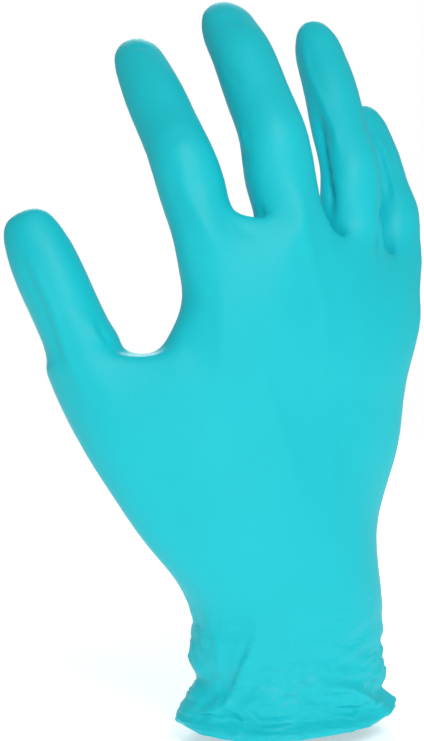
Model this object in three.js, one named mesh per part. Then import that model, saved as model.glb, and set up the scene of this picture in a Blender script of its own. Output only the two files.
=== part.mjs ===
// A nitrile exam glove for a right hand, in the form that it has when it is worn: one thin film,
// open at the cuff, where the film is rolled outwards into a bead. Lengths are in millimetres and
// angles in degrees. X runs from the thumb to the little finger, Y from the back of the glove to the
// palm, and Z from the cuff to the fingertips. The origin is the centre of the cuff's mouth.
import * as THREE from "three";

// The film and its rolled edge.
const wall = 1;
const beadSize = 4;

// The cuff and the wrist. A width runs along X, a depth along Y and a rise along Z.
const cuffWidth = 62.5;
const cuffDepth = 49;
const wristWidth = 64.1;
const wristDepth = 43.3;
const wristRise = 37.4;

// The palm, from the thumb's web up to the knuckles.
const palmThumbSide = 34.3;
const palmLittleSide = 48.4;
const webThumbSide = 38.1;
const webLittleSide = 43.3;
const palmDepth = 28.6;
const palmArch = 4.1;
const thumbWebRise = 116.5;
const knuckleRise = 137;
const knuckleHeight = 1.2;
const knuckleSlant = 6.4;
const knuckleBow = 10.7;
const webSlant = 7.1;
const webBow = 5.9;
const webLift = 6.1;
const webPlace = 0.6;
const webSag = 4;
const palmSquareness = 2.6;
const fingerRise = 21.2;

// Each finger from its knuckle to its tip, and its width beside the first joint.
const thumbLength = 125.8;
const thumbWidth = 24.9;
const indexLength = 93.3;
const indexWidth = 20.9;
const middleLength = 98.2;
const middleWidth = 22.4;
const ringLength = 94.3;
const ringWidth = 20;
const littleLength = 75;
const littleWidth = 17.1;

// Where each finger starts and how it is held. across, back and up are shares of the palm's
// little finger side, of its depth and of the knuckles' rise. bones are shares of the finger's
// length. A splay leans a bone sideways, a bend curls it towards the palm, and roll turns the
// finger about itself. root is how far along its bone the finger leaves the palm.
const rays = {
  thumb: {
    length: thumbLength, width: thumbWidth, across: -0.406, back: 0.154, up: 0.396, roll: -37.7,
    bones: [0.442, 0.241, 0.317], splays: [-38.3, -22, -25.6], bends: [-16.3, 1.4, 1.8], root: 0.57,
  },
  index: {
    length: indexLength, width: indexWidth, across: -0.472, back: -0.091, up: 1.005, roll: -14.3,
    bones: [0.477, 0.264, 0.259], splays: [-16, -16.6, -16.1], bends: [17.4, 43.5, 46.1], root: 0.47,
  },
  middle: {
    length: middleLength, width: middleWidth, across: 0.037, back: -0.173, up: 1.022, roll: 0.7,
    bones: [0.472, 0.292, 0.236], splays: [-4.2, -3.7, -2.3], bends: [16, 36.8, 46.8], root: 0.41,
  },
  ring: {
    length: ringLength, width: ringWidth, across: 0.486, back: -0.054, up: 0.97, roll: 10.5,
    bones: [0.442, 0.294, 0.264], splays: [6.3, 6.9, 7], bends: [13.5, 29.8, 32], root: 0.39,
  },
  little: {
    length: littleLength, width: littleWidth, across: 0.871, back: 0.116, up: 0.932, roll: 21.7,
    bones: [0.457, 0.263, 0.28], splays: [21, 18, 16.6], bends: [22.3, 32.7, 32], root: 0.44,
  },
};
const fingerNames = ["index", "middle", "ring", "little"];

// The sections along a finger. bone and along say where: the near bone is next to the knuckle,
// and on the bone that carries the root, along counts from the root. side, back and pad are half
// the width, the back's height and the pad's depth, all as shares of the finger's width.
const fingerSections = [
  { bone: "near", along: 0.45, side: 0.501, back: 0.46, pad: 0.49 },
  { bone: "near", along: 0.95, side: 0.481, back: 0.48, pad: 0.43 },
  { bone: "middle", along: 0.45, side: 0.458, back: 0.42, pad: 0.44 },
  { bone: "middle", along: 0.97, side: 0.447, back: 0.41, pad: 0.39 },
  { bone: "tip", along: 0.4, side: 0.409, back: 0.36, pad: 0.4 },
  { bone: "tip", along: 0.72, side: 0.357, back: 0.29, pad: 0.36 },
  { bone: "tip", along: 0.93, side: 0.236, back: 0.17, pad: 0.23 },
];
const thumbSections = [
  { bone: "middle", along: 0.45, side: 0.478, back: 0.46, pad: 0.5 },
  { bone: "middle", along: 1, side: 0.43, back: 0.45, pad: 0.47 },
  { bone: "tip", along: 0.38, side: 0.428, back: 0.42, pad: 0.46 },
  { bone: "tip", along: 0.68, side: 0.4, back: 0.36, pad: 0.42 },
  { bone: "tip", along: 0.92, side: 0.29, back: 0.24, pad: 0.27 },
];
const thumbRoot = { bone: "middle", side: 0.52, back: 0.47, pad: 0.53 };
const fingerRoot = { bone: "near", side: 0.5, back: 0.47, pad: 0.5 };

// The rings of the cuff between the bead and the wrist: rise as a share of the wrist's rise, and
// how far the ring has gone from the cuff's oval to the wrist's.
const cuffSections = [
  { rise: 0.18, waist: 0.1 },
  { rise: 0.36, waist: 0.5 },
  { rise: 0.62, waist: 0.9 },
];

// How the mouth strays from its level oval, from the thumb's side over the back of the glove: out
// as a share of the cuff's width and up as a share of the wrist's rise. It fades up to the wrist.
const mouth = [
  { turn: 0, out: 0.024, up: 0.04 },
  { turn: 20, out: 0.016, up: 0.01 },
  { turn: 45, out: -0.013, up: -0.02 },
  { turn: 70, out: 0.01, up: 0 },
  { turn: 95, out: -0.006, up: 0.01 },
  { turn: 120, out: 0.005, up: 0.03 },
  { turn: 145, out: 0.01, up: 0.07 },
  { turn: 165, out: 0.019, up: 0.1 },
  { turn: 190, out: 0.01, up: 0.08 },
  { turn: 225, out: -0.013, up: 0.03 },
  { turn: 265, out: 0.013, up: 0 },
  { turn: 310, out: -0.01, up: 0.02 },
  { turn: 360, out: 0.024, up: 0.04 },
];

// The rows of the heel of the palm: how far up from the wrist to the thumb's web, and how much
// the valleys beside the thumb are filled. fullness is how far the filling swells, in millimetres.
const heelSections = [
  { share: 0.25, fill: 0.6 },
  { share: 0.5, fill: 0.9 },
  { share: 0.75, fill: 0.85 },
];
const backFullness = 2;
const palmFullness = 6;

// The cuff's folds, from one place to another: turn is in degrees from the thumb's side over the
// back of the glove, rise is a share of the wrist's rise, and breadth and height are shares of the
// bead's size. A valley has a height below 0.
const folds = [
  { turn: -22, rise: 0.37, toTurn: 22, toRise: 0.37, breadth: 1.5, height: -0.55 },
  { turn: -14, rise: 0.13, toTurn: 16, toRise: 0.16, breadth: 1.12, height: 0.45 },
  { turn: -6, rise: 0.96, toTurn: 15, toRise: 0.72, breadth: 1, height: 0.25 },
  { turn: 2, rise: 0.8, toTurn: 13, toRise: 0.51, breadth: 1, height: -0.23 },
  { turn: 43, rise: 0.83, toTurn: 21, toRise: 0.16, breadth: 1, height: 0.23 },
  { turn: 34, rise: 0.7, toTurn: 14, toRise: 0.21, breadth: 1.25, height: -0.15 },
  { turn: 34, rise: 0.21, toTurn: 56, toRise: 0.29, breadth: 1, height: 0.2 },
  { turn: 90, rise: 0.37, toTurn: 108, toRise: 0.33, breadth: 1, height: 0.25 },
  { turn: 108, rise: 0.33, toTurn: 142, toRise: 0.13, breadth: 1, height: 0.3 },
  { turn: 86, rise: 0.24, toTurn: 112, toRise: 0.19, breadth: 1, height: -0.2 },
  { turn: 112, rise: 0.45, toTurn: 145, toRise: 0.27, breadth: 1, height: -0.17 },
  { turn: 150, rise: 0.35, toTurn: 178, toRise: 0.35, breadth: 1, height: 0.2 },
  { turn: 152, rise: 0.24, toTurn: 176, toRise: 0.24, breadth: 0.88, height: -0.23 },
  { turn: 212, rise: 0.16, toTurn: 228, toRise: 0.64, breadth: 1.25, height: 0.25 },
  { turn: 250, rise: 0.13, toTurn: 262, toRise: 0.75, breadth: 1.25, height: -0.2 },
  { turn: 292, rise: 0.21, toTurn: 318, toRise: 0.43, breadth: 1.25, height: 0.25 },
];

// The bead's outline, from the lip inside the mouth up to the crease where the roll meets the
// film, in bead sizes out from the film and up.
const beadOutline = [
  { out: -0.28, up: 0.05 },
  { out: 0.02, up: -0.42 },
  { out: 0.55, up: -0.45 },
  { out: 0.85, up: 0.1 },
  { out: 0.02, up: 0.85 },
];

// How far the glove's sides lean out as they leave the wrist: towards the thumb and the little finger.
const thumbLean = 0.78;
const littleLean = -0.26;

const boneNames = ["near", "middle", "tip"];
const evenRounds = 12; // rounds of evening on the back of the glove, below the knuckles' webs
const refinements = 1; // times that the cage is split into four
const fitPasses = 12; // passes that pull the smooth surface onto the sections

const vector = (x, y, z) => new THREE.Vector3(x, y, z);
const radians = THREE.MathUtils.degToRad;
const mix = THREE.MathUtils.lerp;

// The joints of a finger and the frame of each bone: along it, across it and out of its back.
function skeleton(ray) {
  const roll = radians(ray.roll);
  const across = vector(Math.cos(roll), Math.sin(roll), 0);
  const outward = vector(Math.sin(roll), -Math.cos(roll), 0);
  const joints = [
    vector(ray.across * palmLittleSide, ray.back * palmDepth, ray.up * knuckleRise),
  ];
  ray.bones.forEach((share, i) => {
    const along = boneFrame(across, outward, ray.splays[i], ray.bends[i]).along;
    joints.push(joints[i].clone().addScaledVector(along, share * ray.length));
  });
  return { ...ray, turn: { across, outward }, joints };
}

function boneFrame(across, outward, splay, bend) {
  const lean = radians(splay);
  const curl = radians(bend);
  const side = across.clone().multiplyScalar(Math.cos(lean));
  side.addScaledVector(vector(0, 0, 1), -Math.sin(lean));
  const straight = across.clone().multiplyScalar(Math.sin(lean));
  straight.addScaledVector(vector(0, 0, 1), Math.cos(lean));
  const along = straight.multiplyScalar(Math.cos(curl)).addScaledVector(outward, -Math.sin(curl));
  return { along, side, out: vector().crossVectors(side, along) };
}

// The frame at a place on a finger. Near a joint it turns half way to the next bone.
function frameAt(finger, boneName, along) {
  const bone = boneNames.indexOf(boneName);
  const other = Math.min(Math.max(bone + (along < 0.5 ? -1 : 1), 0), finger.bones.length - 1);
  const share = Math.abs(along - 0.5);
  const splay = mix(finger.splays[bone], finger.splays[other], share);
  const bend = mix(finger.bends[bone], finger.bends[other], share);
  const frame = boneFrame(finger.turn.across, finger.turn.outward, splay, bend);
  frame.centre = finger.joints[bone].clone().lerp(finger.joints[bone + 1], along);
  return frame;
}

// The eight points round a finger, from its thumb side over the back to the other side and home
// over the pad.
function fingerRing(finger, section) {
  const frame = frameAt(finger, section.bone, section.along);
  return Array.from({ length: 8 }, (_, i) => {
    const angle = (i * Math.PI) / 4;
    const rise = Math.sin(angle);
    const reach = rise > 0 ? section.back : section.pad;
    return frame.centre
      .clone()
      .addScaledVector(frame.side, -Math.cos(angle) * section.side * finger.width)
      .addScaledVector(frame.out, rise * reach * finger.width);
  });
}

// Labels name the points of a ring: the finger, and the place round it from 0 to 7.
const places = (name, list) => list.map((place) => name + place);
const backLabels = fingerNames.flatMap((name) => places(name, [1, 2, 3]));
const padLabels = [...fingerNames].reverse().flatMap((name) => places(name, [5, 6, 7]));
const palmLoop = ["index0", ...backLabels, "little4", ...padLabels];
const handLoop = [
  ...places("thumb", [0, 1, 2, 3]), "web3", ...backLabels, "little4", ...padLabels, "web5",
  ...places("thumb", [5, 6, 7]),
];
const ringLoop = (name) => places(name, [0, 1, 2, 3, 4, 5, 6, 7]);

// A value from a table's column at a place between two of its rows, eased from one to the next.
function eased(table, key, column, at) {
  const next = table.findIndex((entry) => entry[key] >= at);
  if (next <= 0) return table[Math.max(next, 0)][column];
  const share = (at - table[next - 1][key]) / (table[next][key] - table[next - 1][key]);
  return mix(table[next - 1][column], table[next][column], share * share * (3 - 2 * share));
}

// An oval round the wrist, with a point for each label of the whole glove's loop. stray says how
// much of the mouth's waviness is left.
function wristRing(rise, width, depth, grow = 0, stray = 0) {
  return new Map(
    handLoop.map((label, i) => {
      const turn = (i * 360) / handLoop.length;
      const angle = Math.PI + radians(turn);
      const more = grow + stray * eased(mouth, "turn", "out", turn) * cuffWidth;
      const x = (width / 2 + more) * Math.cos(angle);
      const y = (depth / 2 + more) * Math.sin(angle);
      return [label, vector(x, y, rise + stray * eased(mouth, "turn", "up", turn) * wristRise)];
    }),
  );
}

// The palm's oval at the thumb's web: flatter than an ellipse, and arched so that its edges lie
// further towards the palm.
function palmRing(rise, thumbSide, littleSide, knuckle, slant, bow) {
  const ring = new Map();
  const height = (share) => Math.pow(1 - Math.abs(share) ** palmSquareness, 1 / palmSquareness);
  const place = (label, share, side) => {
    const depth = side * palmDepth * 0.5 * height(share);
    const arch = palmArch * (share + 0.15) ** 2 - 0.04 * palmDepth;
    const level = rise - slant * share - bow * share * share;
    const x = share * (share < 0 ? thumbSide : littleSide);
    ring.set(label, vector(x, depth + arch, level));
  };
  fingerNames.forEach((name, i) =>
    [1, 2, 3].forEach((k) => {
      const share = -0.75 + 0.5 * i + (k - 2) / 6;
      place(name + k, share, -1);
      place(name + (8 - k), share, 1);
      if (k === 2) ring.get(name + k).y -= knuckle;
    }),
  );
  place("index0", -1, 0);
  place("little4", 1, 0);
  return ring;
}

// The cage: points, and four-sided faces that face outwards.
const cage = { points: [], faces: [] };

function addRow(ring) {
  const row = new Map();
  for (const [label, point] of ring) row.set(label, cage.points.push(point) - 1);
  return row;
}

function addStrip(lower, upper, loop) {
  loop.forEach((label, i) => {
    const next = loop[(i + 1) % loop.length];
    cage.faces.push([lower.get(label), lower.get(next), upper.get(next), upper.get(label)]);
  });
}

// The two faces of the web between neighbours that stand on one row.
function addWeb(row, left, right) {
  const at = (name, place) => row.get(name + place);
  cage.faces.push([at(left, 3), at(right, 1), at(right, 0), at(left, 4)]);
  cage.faces.push([at(left, 4), at(right, 0), at(right, 7), at(left, 5)]);
}

function addFinger(row, finger, name, root, sections) {
  const loop = ringLoop(name);
  let lower = row;
  for (const section of sections) {
    const from = section.bone === root.bone ? finger.root : 0;
    const points = fingerRing(finger, { ...section, along: mix(from, 1, section.along) });
    const upper = addRow(new Map(loop.map((label, i) => [label, points[i]])));
    addStrip(lower, upper, loop);
    lower = upper;
  }
  const tip = cage.points.push(finger.joints[finger.bones.length].clone()) - 1;
  const at = (i) => lower.get(loop[i]);
  cage.faces.push([at(0), at(1), at(2), tip], [tip, at(2), at(3), at(4)]);
  cage.faces.push([tip, at(4), at(5), at(6)], [at(0), tip, at(6), at(7)]);
}

// A smooth row part of the way between two rings, leaving one and reaching the other along the
// given slopes.
function between(start, leave, end, reach, share) {
  const ring = new Map();
  const s2 = share * share;
  const s3 = s2 * share;
  for (const [label, from] of start) {
    if (!end.has(label)) continue;
    const point = from.clone().multiplyScalar(2 * s3 - 3 * s2 + 1);
    point.addScaledVector(leave.get(label), s3 - 2 * s2 + share);
    point.addScaledVector(end.get(label), -2 * s3 + 3 * s2);
    point.addScaledVector(reach.get(label), s3 - s2);
    ring.set(label, point);
  }
  return ring;
}

// Fills the valleys beside the thumb's bone: pulls the points between the thumb and the index
// finger towards a full curve, on the back and on the palm.
function fillValleys(ring, amount) {
  for (const [full, names] of [
    [-backFullness, ["thumb2", "thumb3", "web3", "index1", "index2"]],
    [palmFullness, ["thumb6", "thumb5", "web5", "index7", "index6"]],
  ]) {
    const [start, end] = [ring.get(names[0]), ring.get(names[4])];
    for (const i of [1, 2, 3]) {
      const goal = start.clone().lerp(end, i / 4);
      goal.y += full * (1 - ((i - 2) / 2) ** 2);
      ring.get(names[i]).lerp(goal, amount);
    }
  }
  return ring;
}

const thumb = skeleton(rays.thumb);
const fingers = Object.fromEntries(fingerNames.map((name) => [name, skeleton(rays[name])]));

// The rings that the glove's rows run between: the wrist, the thumb's web and the finger roots.
const wrist = wristRing(wristRise, wristWidth, wristDepth);
const thumbWeb = palmRing(thumbWebRise, webThumbSide, webLittleSide, 0, webSlant, webBow);
thumbWeb.get("index0").z += webLift;
for (const label of ["index1", "index7"]) thumbWeb.get(label).z += webLift / 2;
const knuckles = palmRing(
  knuckleRise, palmThumbSide, palmLittleSide, knuckleHeight, knuckleSlant, knuckleBow,
);
const thumbBase = { ...thumbRoot, along: thumb.root };
fingerRing(thumb, thumbBase).forEach((point, i) => thumbWeb.set("thumb" + i, point));
const roots = new Map();
for (const name of fingerNames) {
  const base = { ...fingerRoot, along: fingers[name].root };
  fingerRing(fingers[name], base).forEach((point, i) => roots.set(name + i, point));
}

for (const [label, from, to] of [
  ["web3", "thumb3", "index1"],
  ["web4", "thumb4", "index0"],
  ["web5", "thumb5", "index7"],
]) {
  const point = thumbWeb.get(from).clone().lerp(thumbWeb.get(to), webPlace);
  point.z -= webSag;
  thumbWeb.set(label, point);
}

// The slopes at which the rows leave the wrist, cross the thumb's web, leave the knuckles and
// reach the fingers.
const leaveWrist = new Map();
const crossWeb = new Map();
const leaveKnuckles = new Map();
const reachRoots = new Map();
handLoop.forEach((label, i) => {
  const angle = Math.PI + (i * 2 * Math.PI) / handLoop.length;
  const lean =
    littleLean * Math.max(0, Math.cos(angle)) - thumbLean * Math.max(0, -Math.cos(angle)) ** 3;
  leaveWrist.set(label, vector(lean, 0, 1).multiplyScalar(thumbWebRise - wristRise));
});
for (const label of thumbWeb.keys()) {
  const up = label.startsWith("thumb")
    ? frameAt(thumb, thumbBase.bone, thumbBase.along).along
    : vector(0, 0, 1);
  crossWeb.set(label, up.clone().multiplyScalar(thumbWebRise - wristRise));
}
for (const name of fingerNames) {
  const along = frameAt(fingers[name], fingerRoot.bone, fingers[name].root).along;
  const rising = along.clone().lerp(vector(0, 0, 1), 0.5).normalize();
  for (const label of ringLoop(name)) {
    leaveKnuckles.set(label, rising.clone().multiplyScalar(fingerRise));
    reachRoots.set(label, along.clone().multiplyScalar(fingerRise));
  }
}

// The bead and the cuff, from the lip inside the mouth up to the wrist.
const lipRows = beadOutline.map(({ out, up }) =>
  addRow(wristRing(up * beadSize, cuffWidth, cuffDepth, out * beadSize, 1)),
);
for (let i = 1; i < lipRows.length; i++) addStrip(lipRows[i - 1], lipRows[i], handLoop);
const beadFaces = cage.faces.length;
let row = lipRows[lipRows.length - 1];
for (const { rise, waist } of cuffSections) {
  const width = mix(cuffWidth, wristWidth, waist);
  const depth = mix(cuffDepth, wristDepth, waist);
  const next = addRow(wristRing(rise * wristRise, width, depth, 0, 1 - waist));
  addStrip(row, next, handLoop);
  row = next;
}
const wristRow = addRow(wrist);
addStrip(row, wristRow, handLoop);
row = wristRow;

// The heel of the palm, up to the web of the thumb.
for (const { share, fill } of heelSections) {
  const next = addRow(fillValleys(between(wrist, leaveWrist, thumbWeb, crossWeb, share), fill));
  addStrip(row, next, handLoop);
  row = next;
}
const webRow = addRow(thumbWeb);
addStrip(row, webRow, handLoop);
const webAt = (label) => webRow.get(label);
for (const side of [3, 4]) {
  const face = ["thumb" + side, "web" + side, "web" + (side + 1), "thumb" + (side + 1)];
  cage.faces.push(face.map(webAt));
}
cage.faces.push(["web3", "index1", "index0", "web4"].map(webAt));
cage.faces.push(["web4", "index0", "index7", "web5"].map(webAt));
addFinger(webRow, thumb, "thumb", thumbRoot, thumbSections);

// The palm above the thumb, and the fingers with the webs between them.
const knuckleRow = addRow(knuckles);
addStrip(webRow, knuckleRow, palmLoop);
row = addRow(between(knuckles, leaveKnuckles, roots, reachRoots, 0.5));
addStrip(knuckleRow, row, palmLoop);
const rootRow = addRow(roots);
addStrip(row, rootRow, palmLoop);
fingerNames.slice(1).forEach((name, i) => addWeb(rootRow, fingerNames[i], name));
for (const name of fingerNames)
  addFinger(rootRow, fingers[name], name, fingerRoot, fingerSections);

// What lies round each point of a cage: its neighbours along edges and across faces, and whether
// the edges are at the open rim.
function surroundings({ points, faces }) {
  const edges = new Map();
  const around = points.map(() => ({ near: [], far: [], rim: [] }));
  faces.forEach((face, f) =>
    face.forEach((a, i) => {
      const b = face[(i + 1) % 4];
      const key = a < b ? a + "_" + b : b + "_" + a;
      if (!edges.has(key)) edges.set(key, { a, b, faces: [] });
      edges.get(key).faces.push(f);
      around[a].far.push(face[(i + 2) % 4]);
    }),
  );
  for (const { a, b, faces: sides } of edges.values()) {
    around[a].near.push(b);
    around[b].near.push(a);
    if (sides.length === 1) {
      around[a].rim.push(b);
      around[b].rim.push(a);
    }
  }
  return { edges, around };
}

// Where each point of the cage ends up on the smooth surface.
function smoothed({ points }, around) {
  return points.map((point, i) => {
    const { near, far, rim } = around[i];
    const result = point.clone();
    if (rim.length) {
      result.multiplyScalar(4);
      rim.forEach((j) => result.add(points[j]));
      return result.divideScalar(6);
    }
    const n = near.length;
    result.multiplyScalar(n * n);
    near.forEach((j) => result.addScaledVector(points[j], 4));
    far.forEach((j) => result.add(points[j]));
    return result.divideScalar(n * (n + 5));
  });
}

// Moves the cage's points so that the smooth surface passes through where they are now.
function fit(mesh) {
  const { around } = surroundings(mesh);
  const wanted = mesh.points.map((point) => point.clone());
  for (let pass = 0; pass < fitPasses; pass++) {
    const now = smoothed(mesh, around);
    mesh.points.forEach((point, i) => point.add(wanted[i]).sub(now[i]));
  }
}

// One round of smooth subdivision. Each face becomes four, and the loops follow.
function refine(mesh) {
  const { points, faces, marks, loops } = mesh;
  const { edges, around } = surroundings(mesh);
  const average = (list) =>
    list.reduce((sum, i) => sum.add(points[i]), vector(0, 0, 0)).divideScalar(list.length);
  const centres = faces.map((face) => average(face));
  const moved = points.map((point, i) => {
    const { near, rim } = around[i];
    if (rim.length) return point.clone().multiplyScalar(0.75).addScaledVector(average(rim), 0.25);
    return point.clone().multiplyScalar((near.length - 3) / near.length);
  });
  faces.forEach((face, f) =>
    face.forEach((i) => {
      const n = around[i].near.length;
      if (!around[i].rim.length) moved[i].addScaledVector(centres[f], 1 / (n * n));
    }),
  );
  for (const { a, b } of edges.values()) {
    const middle = average([a, b]);
    for (const i of [a, b]) {
      const n = around[i].near.length;
      if (!around[i].rim.length) moved[i].addScaledVector(middle, 2 / (n * n));
    }
  }
  const all = [...moved];
  const centreIds = centres.map((centre) => all.push(centre) - 1);
  const edgeIds = new Map();
  for (const [key, { a, b, faces: sides }] of edges) {
    const middle = average([a, b]);
    if (sides.length === 2) {
      const inner = centres[sides[0]].clone().add(centres[sides[1]]).multiplyScalar(0.5);
      middle.lerp(inner, 0.5);
    }
    edgeIds.set(key, all.push(middle) - 1);
  }
  const edgeId = (a, b) => edgeIds.get(a < b ? a + "_" + b : b + "_" + a);
  const split = [];
  const splitMarks = [];
  faces.forEach((face, f) =>
    face.forEach((a, i) => {
      const last = face[(i + 3) % 4];
      split.push([a, edgeId(a, face[(i + 1) % 4]), centreIds[f], edgeId(last, a)]);
      splitMarks.push(marks[f]);
    }),
  );
  const splitLoops = loops.map((loop) =>
    loop.flatMap((a, i) => [a, edgeId(a, loop[(i + 1) % loop.length])]),
  );
  return { points: all, faces: split, marks: splitMarks, loops: splitLoops };
}

// The average outward direction at each point, from the faces marked as film.
function filmNormals({ points, faces, marks }) {
  const normals = points.map(() => vector(0, 0, 0));
  faces.forEach((face, f) => {
    if (!marks[f]) return;
    const [a, b, c, d] = face.map((i) => points[i]);
    const normal = c.clone().sub(a).cross(d.clone().sub(b));
    face.forEach((i) => normals[i].add(normal));
  });
  return normals.map((normal) => normal.normalize());
}

// Evens out the back of the glove round the knuckles, between the thumb's web and the fingers.
function evenBack(mesh) {
  const { smoothstep } = THREE.MathUtils;
  const { around } = surroundings(mesh);
  for (let round = 0; round < evenRounds; round++) {
    const normals = filmNormals(mesh);
    const before = mesh.points.map((point) => point.clone());
    mesh.points.forEach((point, i) => {
      const rise = point.z / knuckleRise;
      const along = smoothstep(rise, 0.8, 0.9) * (1 - smoothstep(rise, 1.06, 1.14));
      const facing = smoothstep(-normals[i].y, 0.45, 0.8);
      const beside = smoothstep(point.x, -1.15 * palmThumbSide, -palmThumbSide);
      const middle = vector(0, 0, 0);
      around[i].near.forEach((j) => middle.add(before[j]));
      point.lerp(middle.divideScalar(around[i].near.length), 0.6 * along * facing * beside);
    });
  }
}

// Raises the cuff's folds out of the skin.
function foldCuff(mesh) {
  const normals = filmNormals({ ...mesh, marks: mesh.marks.map(() => true) });
  const radius = (wristWidth + wristDepth) / 4;
  mesh.points.forEach((point, i) => {
    if (point.z > wristRise * 1.4) return;
    const turn = THREE.MathUtils.radToDeg(Math.atan2(-point.y, -point.x));
    let height = 0;
    for (const fold of folds) {
      const away = THREE.MathUtils.euclideanModulo(turn - fold.turn + 180, 360) - 180;
      const place = new THREE.Vector2(radians(away) * radius, point.z - fold.rise * wristRise);
      const run = new THREE.Vector2(
        radians(fold.toTurn - fold.turn) * radius,
        (fold.toRise - fold.rise) * wristRise,
      );
      const share = THREE.MathUtils.clamp(place.dot(run) / run.lengthSq(), 0, 1);
      const distance = place.addScaledVector(run, -share).length() / (fold.breadth * beadSize);
      height += fold.height * beadSize * Math.exp(-2.8 * distance * distance);
    }
    point.addScaledVector(normals[i], height);
  });
}

fit(cage);
let skin = {
  ...cage,
  marks: cage.faces.map((_, f) => f >= beadFaces),
  loops: [lipRows[0], lipRows[lipRows.length - 1]].map((ring) =>
    handLoop.map((label) => ring.get(label)),
  ),
};
for (let i = 0; i < refinements; i++) skin = refine(skin);
skin.points = smoothed(skin, surroundings(skin).around);
evenBack(skin);
foldCuff(skin);

// The closed shell: the outer skin, the film's inner face one wall further in, and the strip
// inside the mouth that joins the lip to it.
function closedShell(mesh) {
  const normals = filmNormals(mesh);
  const positions = [];
  const put = (...corners) => corners.forEach((p) => positions.push(p.x, p.y, p.z));
  const inner = (i) => mesh.points[i].clone().addScaledVector(normals[i], -wall);
  const quad = (a, b, c, d) => {
    put(a, b, c);
    put(a, c, d);
  };
  mesh.faces.forEach((face, f) => {
    quad(...face.map((i) => mesh.points[i]));
    if (mesh.marks[f]) quad(...[...face].reverse().map(inner));
  });
  const [lip, crease] = mesh.loops;
  lip.forEach((a, i) => {
    const j = (i + 1) % lip.length;
    quad(inner(crease[i]), inner(crease[j]), mesh.points[lip[j]], mesh.points[a]);
  });
  const geometry = new THREE.BufferGeometry();
  geometry.setAttribute("position", new THREE.Float32BufferAttribute(positions, 3));
  geometry.computeVertexNormals();
  return geometry;
}

const nitrile = new THREE.MeshStandardMaterial({ color: 0x2fc4d2, roughness: 0.45, metalness: 0 });
const glove = new THREE.Mesh(closedShell(skin), nitrile);
glove.name = "glove";

const part = new THREE.Group();
part.add(glove);
export default part;
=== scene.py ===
# Nitrile exam glove, worn and held up by its cuff. Lengths are in metres unless a name says mm.
import math

import bmesh
import bpy
import numpy as np
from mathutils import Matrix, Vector
from mathutils.bvhtree import BVHTree


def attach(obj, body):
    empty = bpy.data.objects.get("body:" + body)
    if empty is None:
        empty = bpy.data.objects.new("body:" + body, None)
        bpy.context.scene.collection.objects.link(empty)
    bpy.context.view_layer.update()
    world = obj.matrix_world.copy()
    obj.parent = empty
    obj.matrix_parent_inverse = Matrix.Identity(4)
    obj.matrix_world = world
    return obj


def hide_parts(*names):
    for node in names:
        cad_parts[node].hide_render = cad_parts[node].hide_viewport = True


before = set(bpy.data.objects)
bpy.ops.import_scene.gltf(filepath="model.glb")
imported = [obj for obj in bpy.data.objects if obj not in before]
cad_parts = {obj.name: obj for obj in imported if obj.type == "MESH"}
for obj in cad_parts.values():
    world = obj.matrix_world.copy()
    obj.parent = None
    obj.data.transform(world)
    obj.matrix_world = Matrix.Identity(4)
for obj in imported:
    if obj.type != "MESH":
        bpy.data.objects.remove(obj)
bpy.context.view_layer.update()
scene = bpy.context.scene
scene.view_settings.view_transform = "Standard"
print("stage: frame loaded")

# The photograph's camera. A place in the photograph is given in its own pixels.
photo = {
    "width": 424,
    "height": 741,
    "azimuth": -25.0,
    "elevation": 6.6,
    "distance": 1.0,
    "pixelsPerMetre": 3150.0,  # at the distance of the cuff's mouth
    "cuffMouth": (286.0, 715.0),  # where the part's origin shows
}


def cameraAxes():
    turn = math.radians(photo["azimuth"])
    lift = math.radians(photo["elevation"])
    back = Vector((math.sin(turn) * math.cos(lift), -math.cos(turn) * math.cos(lift), math.sin(lift)))
    right = Vector((math.cos(turn), math.sin(turn), 0))
    return right, back.cross(right), back


def photoRay(px, py):  # from the camera through a pixel of the photograph
    right, up, back = cameraAxes()
    focal = photo["pixelsPerMetre"] * photo["distance"]
    across = (px - photo["width"] / 2) / focal
    down = (py - photo["height"] / 2) / focal
    return cameraPlace(), (right * across - up * down - back).normalized()


def cameraPlace():
    right, up, back = cameraAxes()
    across = (photo["cuffMouth"][0] - photo["width"] / 2) / photo["pixelsPerMetre"]
    down = (photo["cuffMouth"][1] - photo["height"] / 2) / photo["pixelsPerMetre"]
    return up * down - right * across + back * photo["distance"]


def addCamera():
    data = bpy.data.cameras.new("photoCamera")
    camera = bpy.data.objects.new("photoCamera", data)
    scene.collection.objects.link(camera)
    data.sensor_fit = "VERTICAL"
    focal = photo["pixelsPerMetre"] * photo["distance"]
    data.angle = 2 * math.atan(photo["height"] / 2 / focal)
    data.clip_end = 20
    camera.location = cameraPlace()
    right, up, back = cameraAxes()
    camera.rotation_euler = back.to_track_quat("Z", "Y").to_euler()
    scene.camera = camera


addCamera()
print("stage: camera set")


# Shader maths: a socket that can be added to, multiplied and so on.
class Wire:
    def __init__(self, tree, socket):
        self.tree = tree
        self.socket = socket

    def maths(self, operation, first, second=None):
        node = self.tree.nodes.new("ShaderNodeMath")
        node.operation = operation
        for index, value in enumerate((first, second)):
            if isinstance(value, Wire):
                self.tree.links.new(value.socket, node.inputs[index])
            elif value is not None:
                node.inputs[index].default_value = value
        return Wire(self.tree, node.outputs[0])

    def __add__(self, other):
        return self.maths("ADD", self, other)

    __radd__ = __add__

    def __sub__(self, other):
        return self.maths("SUBTRACT", self, other)

    def __rsub__(self, other):
        return self.maths("SUBTRACT", other, self)

    def __mul__(self, other):
        return self.maths("MULTIPLY", self, other)

    __rmul__ = __mul__

    def __truediv__(self, other):
        return self.maths("DIVIDE", self, other)

    def __pow__(self, other):
        return self.maths("POWER", self, other)

    def most(self, other):
        return self.maths("MAXIMUM", self, other)

    def least(self, other):
        return self.maths("MINIMUM", self, other)


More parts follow.
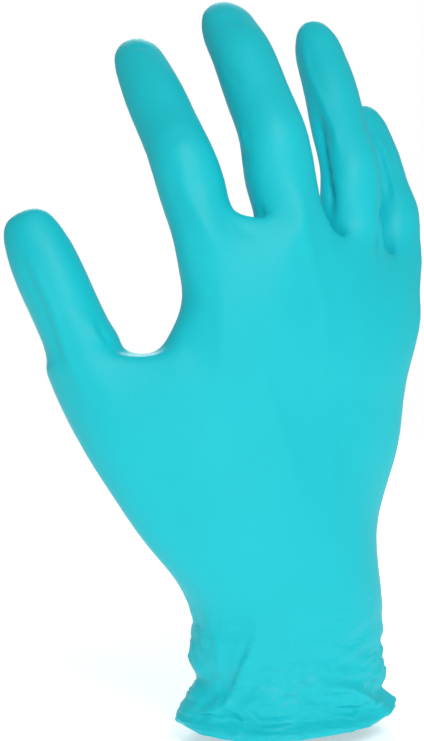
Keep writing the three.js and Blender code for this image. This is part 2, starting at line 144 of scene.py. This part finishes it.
class Finish:  # a material and its node tree
    def __init__(self, name):
        self.material = bpy.data.materials.new(name)
        self.material.use_nodes = True
        self.tree = self.material.node_tree
        self.shader = self.tree.nodes["Principled BSDF"]

    def wire(self, value, socket):
        if isinstance(value, Wire):
            self.tree.links.new(value.socket, socket)
        else:
            socket.default_value = value

    def node(self, kind, settings, sockets, out=0):
        made = self.tree.nodes.new(kind)
        for name, value in settings.items():
            setattr(made, name, value)
        for name, value in sockets.items():
            self.wire(value, made.inputs[name])
        return Wire(self.tree, made.outputs[out])

    def surface(self, **sockets):
        for name, value in sockets.items():
            self.wire(value, self.shader.inputs[name])


# The film: the CAD shell as clean four-sided faces, then subdivided.
film = {
    "joinBend": 50.0,  # most bend and skew, in degrees, at which two triangles join
    "joinSkew": 60.0,
    "levels": 2,
    "settling": 3,  # passes that pull the smooth skin back onto the CAD points
    "wallMm": 1.0,
    "beadTopMm": 6.0,
    "cuffRootMm": 18.0,  # below this the way out is level, and it blends to the skin's own over cuffBlendMm
    "cuffBlendMm": 20.0,
}


def plainCopy(thing, name):
    depsgraph = bpy.context.evaluated_depsgraph_get()
    mesh = bpy.data.meshes.new_from_object(thing.evaluated_get(depsgraph))
    mesh.name = name
    return mesh


def places(mesh):
    flat = np.empty(len(mesh.vertices) * 3)
    mesh.vertices.foreach_get("co", flat)
    return flat.reshape(-1, 3)


def movePlaces(mesh, points):
    mesh.vertices.foreach_set("co", np.ascontiguousarray(points).ravel())
    mesh.update()


def smoothFilm():
    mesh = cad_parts["glove"].data.copy()
    bm = bmesh.new()
    bm.from_mesh(mesh)
    bmesh.ops.remove_doubles(bm, verts=bm.verts, dist=1e-5)
    bmesh.ops.join_triangles(
        bm,
        faces=bm.faces,
        angle_face_threshold=math.radians(film["joinBend"]),
        angle_shape_threshold=math.radians(film["joinSkew"]),
    )
    left = sum(len(face.verts) == 3 for face in bm.faces)
    print("film: faces", len(bm.faces), "triangles left", left)
    bm.to_mesh(mesh)
    bm.free()
    mesh.materials.clear()
    glove = bpy.data.objects.new("gloveFilm", mesh)
    scene.collection.objects.link(glove)
    rounding = glove.modifiers.new("rounding", "SUBSURF")
    rounding.levels = film["levels"]
    rounding.render_levels = film["levels"]
    wanted = places(mesh)
    for _ in range(film["settling"]):
        bpy.context.view_layer.update()
        now = places(plainCopy(glove, "trial"))[: len(wanted)]
        movePlaces(mesh, places(mesh) + wanted - now)
    bpy.context.view_layer.update()
    smooth = plainCopy(glove, "gloveFilm")
    glove.modifiers.clear()
    glove.data = smooth
    return glove


glove = smoothFilm()
print("stage: film smoothed,", len(glove.data.vertices), "points")


# Which way is out of the glove at each point, the same for the film's outer and inner face.
def outerFace(mesh, points):
    neighbours = [[] for _ in points]
    high = points[:, 2] > film["beadTopMm"] / 1000
    for edge in mesh.edges:
        a, b = edge.vertices
        if high[a] and high[b]:
            neighbours[a].append(b)
            neighbours[b].append(a)
    outer = np.zeros(len(points), bool)
    start = int(points[:, 2].argmax())
    outer[start] = True
    waiting = [start]
    while waiting:
        for other in neighbours[waiting.pop()]:
            if not outer[other]:
                outer[other] = True
                waiting.append(other)
    return outer


def outwardOf(mesh, points, outer):
    normals = np.empty(len(points) * 3)
    mesh.vertex_normals.foreach_get("vector", normals)
    normals = normals.reshape(-1, 3) * np.where(outer, 1, -1)[:, None]
    radial = points * np.array((1, 1.6, 0))
    radial /= np.linalg.norm(radial, axis=1)[:, None] + 1e-9
    share = np.clip((points[:, 2] * 1000 - film["cuffRootMm"]) / film["cuffBlendMm"], 0, 1)[:, None]
    outward = normals * share + radial * (1 - share)
    return outward / (np.linalg.norm(outward, axis=1)[:, None] + 1e-9)


mesh = glove.data
points = places(mesh)
outer = outerFace(mesh, points)
outward = outwardOf(mesh, points, outer)
skinTree = BVHTree.FromPolygons([tuple(p) for p in points], [tuple(f.vertices) for f in mesh.polygons])
print("stage: faces told apart,", int(outer.sum()), "points outside")

# Folds and creases as strokes on the skin. path is in the photograph's pixels, or on the palm's
# side in millimetres across and up. breadth and height are in millimetres, and a groove has a
# height below 0.
creases = [
    # the long sharp crease of the cuff, with the hollow beside it
    {"path": [(256, 638), (246, 660), (237, 682), (228, 702), (219, 719)], "breadth": 1.0, "height": 0.7},
    {"path": [(250, 640), (240, 662), (231, 684), (222, 704)], "breadth": 1.3, "height": -0.6},
    # wrinkles at the cuff's left end
    {"path": [(195, 620), (199, 640), (207, 665)], "breadth": 1.2, "height": 0.5},
    {"path": [(202, 612), (208, 634), (215, 655)], "breadth": 1.1, "height": -0.4},
    {"path": [(211, 628), (219, 652), (221, 676)], "breadth": 1.0, "height": 0.4},
    {"path": [(198, 682), (206, 681), (216, 677)], "breadth": 1.4, "height": -0.8},
    {"path": [(190, 694), (200, 697), (214, 694)], "breadth": 1.6, "height": 0.7},
    {"path": [(196, 707), (206, 708), (216, 704)], "breadth": 1.0, "height": -0.5},
    # the arch and its bands on the right
    {"path": [(311, 697), (325, 687), (350, 688), (368, 697), (382, 707)], "breadth": 1.0, "height": 0.7},
    {"path": [(318, 704), (334, 695), (352, 697), (372, 708)], "breadth": 1.0, "height": -0.5},
    {"path": [(316, 690), (330, 680), (352, 680), (378, 690)], "breadth": 1.1, "height": -0.45},
    {"path": [(322, 673), (345, 673), (374, 670)], "breadth": 1.0, "height": 0.4},
    {"path": [(326, 712), (346, 703), (364, 707)], "breadth": 1.0, "height": 0.35},
    {"path": [(372, 674), (381, 673)], "breadth": 1.2, "height": 0.6},
    {"path": [(370, 682), (380, 682)], "breadth": 1.0, "height": -0.7},
    # small folds in the cuff's middle
    {"path": [(243, 703), (262, 699), (280, 703)], "breadth": 1.0, "height": 0.5},
    {"path": [(246, 709), (262, 706), (278, 709)], "breadth": 1.0, "height": -0.35},
    {"path": [(258, 721), (271, 716), (286, 717)], "breadth": 1.0, "height": 0.4},
    {"path": [(292, 704), (302, 714), (309, 721)], "breadth": 1.0, "height": 0.35},
    {"path": [(286, 668), (292, 684), (296, 698)], "breadth": 1.2, "height": -0.3},
    # the crease above the bead
    {
        "path": [
            (194, 718), (207, 727), (219, 723), (234, 721), (252, 725), (265, 728), (279, 726),
            (300, 724), (321, 724), (332, 721), (344, 716), (359, 713), (371, 711), (381, 710),
        ],
        "breadth": 0.9, "height": -0.6,
    },
    # the thumb: its long ridge with a hollow beside it, and short creases towards the web
    {
        "path": [(23, 246), (37, 277), (48, 302), (55, 318), (61, 338), (71, 369), (85, 395), (102, 414)],
        "breadth": 1.3, "height": 0.64,
    },
    {"path": [(18, 252), (31, 282), (43, 308), (55, 342), (65, 372)], "breadth": 1.5, "height": -0.48},
    {"path": [(61, 306), (82, 307), (93, 311)], "breadth": 1.0, "height": -0.48},
    {"path": [(97, 318), (102, 333), (111, 346)], "breadth": 1.0, "height": -0.64},
    {"path": [(91, 322), (97, 337), (105, 350)], "breadth": 1.0, "height": 0.48},
    # the index finger
    {"path": [(129, 49), (139, 46), (149, 49)], "breadth": 1.0, "height": -0.4},
    {"path": [(165, 142), (176, 136), (192, 130)], "breadth": 1.2, "height": -0.48},
    {"path": [(178, 156), (185, 193), (202, 222), (219, 256)], "breadth": 2.2, "height": 0.48},
    # the middle finger: two short creases, and crumples on its left edge and at the web
    {"path": [(220, 17), (226, 18), (232, 21), (242, 25)], "breadth": 1.0, "height": -0.48},
    {"path": [(224, 72), (232, 76), (242, 82)], "breadth": 1.0, "height": -0.56},
    {"path": [(240, 128), (243, 137), (246, 145)], "breadth": 1.0, "height": 0.8},
    {"path": [(241, 150), (245, 157), (250, 160)], "breadth": 1.0, "height": -0.64},
    {"path": [(250, 203), (254, 209), (253, 216)], "breadth": 1.0, "height": 0.96},
    {"path": [(259, 206), (262, 214), (261, 222)], "breadth": 1.0, "height": -0.8},
    # the ring finger: a long ridge, an inner crease and crumples on its left edge
    {
        "path": [(302, 36), (308, 71), (316, 89), (326, 110), (335, 128), (340, 160)],
        "breadth": 1.3, "height": 0.72,
    },
    {"path": [(317, 113), (325, 132), (331, 149)], "breadth": 1.1, "height": -0.72},
    {"path": [(315, 112), (320, 140), (325, 168), (329, 195), (331, 222)], "breadth": 2.0, "height": -2.6},
    {"path": [(318, 142), (324, 146)], "breadth": 1.0, "height": 0.8},
    {"path": [(320, 158), (327, 163)], "breadth": 1.0, "height": 0.8},
    {"path": [(322, 174), (330, 180)], "breadth": 1.0, "height": 0.8},
    # the little finger
    {"path": [(369, 128), (383, 147), (394, 188), (399, 204)], "breadth": 1.2, "height": 0.64},
    {"path": [(378, 150), (387, 176), (391, 203)], "breadth": 1.1, "height": -0.56},
    {"path": [(383, 190), (382, 215), (380, 240), (380, 256)], "breadth": 1.7, "height": -2.2},
    # puckers at the webs
    {"path": [(236, 224), (246, 232), (258, 236)], "breadth": 1.1, "height": -0.5},
    {"path": [(331, 226), (338, 232), (347, 236)], "breadth": 1.1, "height": -0.6},
    # long soft lines over the back of the glove
    {"path": [(222, 286), (222, 330), (222, 379)], "breadth": 2.4, "height": 0.4},
    {"path": [(262, 375), (275, 412), (287, 449), (299, 495)], "breadth": 2.6, "height": 0.4},
    {
        "path": [(296, 178), (306, 230), (315, 274), (326, 310), (329, 344), (327, 425)],
        "breadth": 2.6, "height": 0.56,
    },
    {"path": [(335, 440), (336, 500), (335, 560)], "breadth": 3.0, "height": 0.48},
    # the palm's own creases, on the hidden side
    {"palm": [(46, 112), (25, 117), (5, 125), (-8, 135)], "breadth": 1.6, "height": -0.5},
    {"palm": [(-28, 119), (-10, 112), (14, 101), (34, 88)], "breadth": 1.6, "height": -0.5},
    {"palm": [(-26, 116), (-14, 104), (-8, 86), (-9, 66), (-14, 50)], "breadth": 1.8, "height": -0.6},
    {"palm": [(-40, 177), (-35, 178), (-29, 180)], "breadth": 1.2, "height": -0.5},
    {"palm": [(-8, 184), (-1, 185), (6, 184)], "breadth": 1.2, "height": -0.5},
    {"palm": [(21, 173), (28, 174), (35, 172)], "breadth": 1.2, "height": -0.5},
    {"palm": [(48, 159), (53, 158), (57, 156)], "breadth": 1.2, "height": -0.5},
]
strokeEnds = {"share": 0.2, "least": 0.1}  # how much of a stroke fades at each end, and down to what


def strokeOnSkin(stroke):
    if "palm" in stroke:
        rays = [(Vector((x / 1000, 0.2, z / 1000)), Vector((0, -1, 0))) for x, z in stroke["palm"]]
    else:
        rays = [photoRay(px, py) for px, py in stroke["path"]]
    hits = [skinTree.ray_cast(start, direction)[0] for start, direction in rays]
    return [np.array(hit) for hit in hits if hit is not None]


def pressCreases(points, strokes):
    shift = np.zeros(len(points))
    skin = points + np.where(outer, 0, film["wallMm"] / 1000)[:, None] * outward
    for stroke in strokes:
        found = strokeOnSkin(stroke)
        if len(found) < 2:
            print("crease misses the film:", stroke)
            continue
        steps = [np.linalg.norm(b - a) for a, b in zip(found, found[1:])]
        whole = sum(steps)
        nearest = np.full(len(points), 1.0)
        along = np.zeros(len(points))
        gone = 0
        for a, b, step in zip(found, found[1:], steps):
            share = np.clip(((skin - a) @ (b - a)) / step**2, 0, 1)
            away = np.linalg.norm(skin - a - share[:, None] * (b - a), axis=1)
            closer = away < nearest
            nearest[closer] = away[closer]
            along[closer] = (gone + share[closer] * step) / whole
            gone += step
        ends = np.clip(np.minimum(along, 1 - along) / strokeEnds["share"], strokeEnds["least"], 1)
        shape = np.exp(-((nearest * 1000 / stroke["breadth"]) ** 2))
        shift += stroke["height"] / 1000 * shape * ends
    return shift


shift = pressCreases(points, creases)
movePlaces(mesh, points + outward * shift[:, None])
print("stage: creases pressed,", len(creases), "of them")


# Crinkles: sharp little ridges that run round the glove, strong at the cuff and faint elsewhere.
crinkles = {
    "heightMm": 1.0, "size": 80.0, "seed": 3.0,
    "cuffMm": 20.0, "fadeMm": 22.0, "elsewhere": 0.07,
    "squeeze": (0.7, 0.7, 1.9), "detail": 3.0, "distortion": 0.8,
    "sharpness": 5.0, "sink": 0.3,
}


def setAttribute(name, kind, values):
    attribute = mesh.attributes.new(name, kind, "POINT")
    attribute.data.foreach_set("vector" if kind == "FLOAT_VECTOR" else "value", values.ravel())


def crinkleTree():
    tree = bpy.data.node_groups.new("filmCrinkles", "GeometryNodeTree")
    face = tree.interface
    face.new_socket(name="Film", in_out="INPUT", socket_type="NodeSocketGeometry")
    for name in ("Height", "Size", "Seed"):
        face.new_socket(name=name, in_out="INPUT", socket_type="NodeSocketFloat")
    face.new_socket(name="Material", in_out="INPUT", socket_type="NodeSocketMaterial")
    face.new_socket(name="Film", in_out="OUTPUT", socket_type="NodeSocketGeometry")
    given = tree.nodes.new("NodeGroupInput")

    def made(kind, settings, sockets):
        node = tree.nodes.new(kind)
        for name, value in settings.items():
            setattr(node, name, value)
        for name, value in sockets.items():
            if isinstance(value, bpy.types.NodeSocket):
                tree.links.new(value, node.inputs[name])
            else:
                node.inputs[name].default_value = value
        return node

    place = made("GeometryNodeInputPosition", {}, {}).outputs[0]
    squeezed = made("ShaderNodeVectorMath", {"operation": "MULTIPLY"}, {0: place, 1: crinkles["squeeze"]})
    noise = made(
        "ShaderNodeTexNoise",
        {"noise_dimensions": "4D"},
        {
            "Vector": squeezed.outputs[0], "W": given.outputs["Seed"], "Scale": given.outputs["Size"],
            "Detail": crinkles["detail"], "Distortion": crinkles["distortion"],
        },
    )
    value = Wire(tree, noise.outputs[0])
    swing = (value - 0.5).maths("ABSOLUTE", value - 0.5)
    ridge = (1 - swing * crinkles["sharpness"]).most(0) ** 2 - crinkles["sink"]
    named = {"data_type": "FLOAT"}
    mask = made("GeometryNodeInputNamedAttribute", named, {"Name": "crinkled"}).outputs["Attribute"]
    named = {"data_type": "FLOAT_VECTOR"}
    out = made("GeometryNodeInputNamedAttribute", named, {"Name": "outward"}).outputs["Attribute"]
    height = ridge * Wire(tree, mask) * Wire(tree, given.outputs["Height"])
    offset = made("ShaderNodeVectorMath", {"operation": "SCALE"}, {0: out, "Scale": height.socket})
    moved = made(
        "GeometryNodeSetPosition", {}, {"Geometry": given.outputs["Film"], "Offset": offset.outputs[0]}
    )
    whole = made("GeometryNodeRealizeInstances", {}, {"Geometry": moved.outputs[0]})
    coated = made(
        "GeometryNodeSetMaterial", {}, {"Geometry": whole.outputs[0], "Material": given.outputs["Material"]}
    )
    result = tree.nodes.new("NodeGroupOutput")
    tree.links.new(coated.outputs[0], result.inputs["Film"])
    return tree


def crinkleFilm(material):
    heights = points[:, 2] * 1000
    fade = np.clip((heights - crinkles["cuffMm"]) / crinkles["fadeMm"], 0, 1)
    fade = fade * fade * (3 - 2 * fade)
    setAttribute("outward", "FLOAT_VECTOR", outward)
    setAttribute("crinkled", "FLOAT", 1 + (crinkles["elsewhere"] - 1) * fade)
    modifier = glove.modifiers.new("crinkles", "NODES")
    modifier.node_group = crinkleTree()
    values = {
        "Height": crinkles["heightMm"] / 1000, "Size": crinkles["size"], "Seed": crinkles["seed"],
        "Material": material,
    }
    for item in modifier.node_group.interface.items_tree:
        if item.in_out == "INPUT" and item.name in values:
            modifier[item.identifier] = values[item.name]
    bpy.context.view_layer.update()
    crinkled = plainCopy(glove, "gloveFilm")
    glove.modifiers.clear()
    glove.data = crinkled
    for name in ("outward", "crinkled"):
        crinkled.attributes.remove(crinkled.attributes[name])


# Nitrile: teal and satin, with painted shade darkening the fingertips.
nitrile = {
    "tips": [
        {"at": (140, 62), "reachMm": 34}, {"at": (232, 20), "reachMm": 24},
        {"at": (315, 42), "reachMm": 24}, {"at": (30, 232), "reachMm": 16},
        {"at": (372, 122), "reachMm": 12},
    ],
    "paintedTipShade": 0.06,
    "tipStart": 0.7,  # shares of a tip's reach: where its shade starts to fade, and over how much
    "tipFade": 0.6,
    "deep": (0.002, 0.46, 0.54, 1),
    "light": (0.009, 0.69, 0.77, 1),
    "patches": {"scale": 32.0, "detail": 3.0, "tone": 0.25},
    "grain": {"scale": 1400.0, "detail": 2.0, "tone": 0.12, "strength": 0.25, "reliefMm": 0.2},
    "roughness": 0.52,
    "roughSwing": 0.12,
    "specular": 0.3,
    "wrinkles": {
        "scale": 85.0, "detail": 2.0, "distortion": 0.4, "squeeze": (0.6, 0.6, 1.9), "sharpness": 6.0,
        "strength": 0.5, "reliefMm": 0.35, "fullBelowMm": 16, "goneAboveMm": 52, "faint": 0.05,
    },
}


def nitrileFinish():
    finish = Finish("nitrileTeal")
    place = finish.node("ShaderNodeTexCoord", {}, {}, out="Object")
    looks = nitrile["patches"]
    sockets = {"Vector": place, "Scale": looks["scale"], "Detail": looks["detail"]}
    patches = finish.node("ShaderNodeTexNoise", {}, sockets)
    tone = (patches - 0.5) * looks["tone"]
    looks = nitrile["grain"]
    sockets = {"Vector": place, "Scale": looks["scale"], "Detail": looks["detail"]}
    grain = finish.node("ShaderNodeTexNoise", {}, sockets)
    tone = tone + (grain - 0.5) * looks["tone"] + 0.5
    # painted shade: near each fingertip the colour is pulled towards the deep teal, standing in for the
    # shade where the tips bend away
    for tip in nitrile["tips"]:
        start, direction = photoRay(*tip["at"])
        hit = skinTree.ray_cast(start, direction)[0]
        reach = tip["reachMm"] / 1000
        away = finish.node(
            "ShaderNodeVectorMath", {"operation": "DISTANCE"}, {0: place, 1: tuple(hit)}, out=1
        )
        near = 1 - (away - reach * nitrile["tipStart"]) / (reach * nitrile["tipFade"])
        tone = tone - near.most(0).least(1) * nitrile["paintedTipShade"]
    colour = finish.node(
        "ShaderNodeMix",
        {"data_type": "RGBA"},
        {"Factor": tone.most(0), "A": nitrile["deep"], "B": nitrile["light"]},
        out=2,
    )
    wrinkles = nitrile["wrinkles"]
    height = finish.node("ShaderNodeSeparateXYZ", {}, {"Vector": place}, out=2)
    fading = (wrinkles["goneAboveMm"] - wrinkles["fullBelowMm"]) / 1000
    low = ((wrinkles["goneAboveMm"] / 1000 - height) / fading).most(wrinkles["faint"]).least(1)
    squeezed = finish.node(
        "ShaderNodeVectorMath", {"operation": "MULTIPLY"}, {0: place, 1: wrinkles["squeeze"]}
    )
    folds = finish.node(
        "ShaderNodeTexNoise", {},
        {
            "Vector": squeezed, "Scale": wrinkles["scale"], "Detail": wrinkles["detail"],
            "Distortion": wrinkles["distortion"],
        },
    )
    swing = (folds - 0.5).maths("ABSOLUTE", folds - 0.5)
    ridge = (1 - swing * wrinkles["sharpness"]).most(0)
    relief = finish.node(
        "ShaderNodeBump", {},
        {
            "Strength": wrinkles["strength"], "Distance": wrinkles["reliefMm"] / 1000,
            "Height": ridge * ridge * low,
        },
    )
    bump = finish.node(
        "ShaderNodeBump", {},
        {
            "Strength": looks["strength"], "Distance": looks["reliefMm"] / 1000,
            "Height": grain + patches, "Normal": relief,
        },
    )
    rough = (patches - 0.5) * nitrile["roughSwing"] + nitrile["roughness"]
    finish.surface(**{"Base Color": colour, "Roughness": rough, "Normal": bump})
    finish.shader.inputs["Specular IOR Level"].default_value = nitrile["specular"]
    return finish.material


crinkleFilm(nitrileFinish())
for face in glove.data.polygons:
    face.use_smooth = True
print("stage: film crinkled and finished")

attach(glove, "root")
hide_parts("glove")

# A pale round floor, in a white room.
stage = {
    "floorMm": -6.0, "radius": 0.7, "corners": 96, "paper": (0.9, 0.9, 0.9, 1), "glow": 0.45,
    "fibreScale": 300.0, "roughness": 0.85, "roughSwing": 0.1,
}


def addFloor():
    bm = bmesh.new()
    bmesh.ops.create_circle(bm, cap_ends=True, segments=stage["corners"], radius=stage["radius"])
    sheet = bpy.data.meshes.new("floor")
    bm.to_mesh(sheet)
    bm.free()
    movePlaces(sheet, places(sheet) + np.array((0, 0, stage["floorMm"] / 1000)))
    floor = bpy.data.objects.new("floor", sheet)
    scene.collection.objects.link(floor)
    finish = Finish("palePaper")
    place = finish.node("ShaderNodeTexCoord", {}, {}, out="Object")
    fibres = finish.node("ShaderNodeTexNoise", {}, {"Vector": place, "Scale": stage["fibreScale"]})
    finish.surface(**{"Roughness": fibres * stage["roughSwing"] + stage["roughness"]})
    finish.shader.inputs["Emission Color"].default_value = (1, 1, 1, 1)
    finish.shader.inputs["Emission Strength"].default_value = stage["glow"]
    finish.shader.inputs["Base Color"].default_value = stage["paper"]
    sheet.materials.append(finish.material)


addFloor()

# Soft studio light: a panel in front, a weak one behind the palm, and pale surroundings.
lights = [
    {"name": "frontPanel", "azimuth": -9, "elevation": 36, "distance": 1.6, "size": 0.8, "watts": 13.5},
    {"name": "palmPanel", "azimuth": 160, "elevation": 25, "distance": 1.5, "size": 0.8, "watts": 9},
]
surroundings = {"seen": 1.0, "light": 0.36}


def addLights():
    middle = Vector((0, 0, 0.11))
    for light in lights:
        data = bpy.data.lights.new(light["name"], "AREA")
        data.shape = "DISK"
        data.size = light["size"]
        data.energy = light["watts"]
        lamp = bpy.data.objects.new(light["name"], data)
        scene.collection.objects.link(lamp)
        turn = math.radians(light["azimuth"])
        lift = math.radians(light["elevation"])
        back = Vector(
            (math.sin(turn) * math.cos(lift), -math.cos(turn) * math.cos(lift), math.sin(lift))
        )
        lamp.location = middle + back * light["distance"]
        lamp.rotation_euler = back.to_track_quat("Z", "Y").to_euler()
    world = bpy.data.worlds.new("paleRoom")
    world.use_nodes = True
    nodes = world.node_tree.nodes
    background = nodes["Background"]
    background.inputs["Color"].default_value = (1, 1, 1, 1)
    path = nodes.new("ShaderNodeLightPath")  # the room is white to the eye, and dimmer as a light
    seen = Wire(world.node_tree, path.outputs["Is Camera Ray"])
    strength = seen * (surroundings["seen"] - surroundings["light"]) + surroundings["light"]
    world.node_tree.links.new(strength.socket, background.inputs["Strength"])
    scene.world = world


addLights()
print("stage: floor and lights set")
